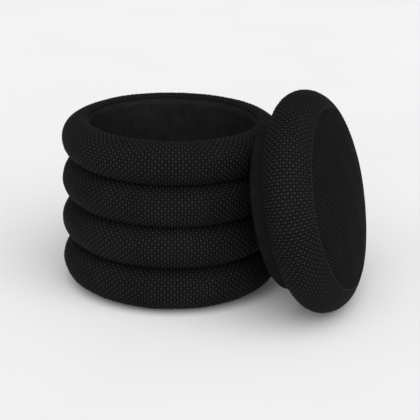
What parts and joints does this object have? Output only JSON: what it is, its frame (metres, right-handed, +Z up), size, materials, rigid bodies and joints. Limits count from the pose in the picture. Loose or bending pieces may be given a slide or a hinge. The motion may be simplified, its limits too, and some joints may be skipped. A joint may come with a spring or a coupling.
{
  "type": "storage ottoman",
  "caption": "Round storage ottoman with a body of stacked padded rings in coarse woven cloth, a smoothly lined open well, and a padded lift-off lid leaning against it.",
  "frame": {"origin": "on the floor, at the middle of the ottoman's round body", "axes": "+Z up along the body's axis; the lid stands to the +X side and a little towards -Y, the front"},
  "size_m": [0.6157, 0.5608, 0.4191],
  "materials": {
    "woven_cloth": "coarse basket weave, black, soft sheen",
    "piping_cloth": "rolled woven edge, black",
    "lining_cloth": "smooth non-woven, black, matte",
    "dust_cloth": "thin non-woven, black, matte",
    "foam": "open-cell upholstery foam",
    "board": "raw pressed board",
    "hoop_wood": "planed plywood",
    "card": "hardboard",
    "glide_plastic": "moulded, black",
    "steel": "zinc plated"
  },
  "bodies": {
    "ottoman": {"glide_caps": "glide_plastic", "glide_nails": "steel", "dust_cover": "dust_cloth", "cover_staples": "steel", "base_board": "board", "base_screws": "steel", "lower_hoop": "hoop_wood", "shell_tube": "board", "foam_ring_1": "foam", "foam_ring_2": "foam", "foam_ring_3": "foam", "foam_ring_4": "foam", "ring_cover_1": "woven_cloth", "ring_cover_2": "woven_cloth", "ring_cover_3": "woven_cloth", "ring_cover_4": "woven_cloth", "wall_lining": "lining_cloth", "floor_panel": "card", "floor_lining": "lining_cloth"},
    "lid": {"lid_board": "board", "lid_roll_foam": "foam", "lid_seat_foam": "foam", "lid_side_cover": "woven_cloth", "lid_seat_cover": "woven_cloth", "lid_piping": "piping_cloth", "plug_board": "board", "plug_cover": "lining_cloth", "plug_screws": "steel", "lid_staples": "steel"}
  },
  "joints": [
    {"name": "lid_lift", "type": "slide", "parent": "ottoman", "child": "lid", "axis": [0, 0, 1], "range_m": [0, 0.36]}
  ]
}
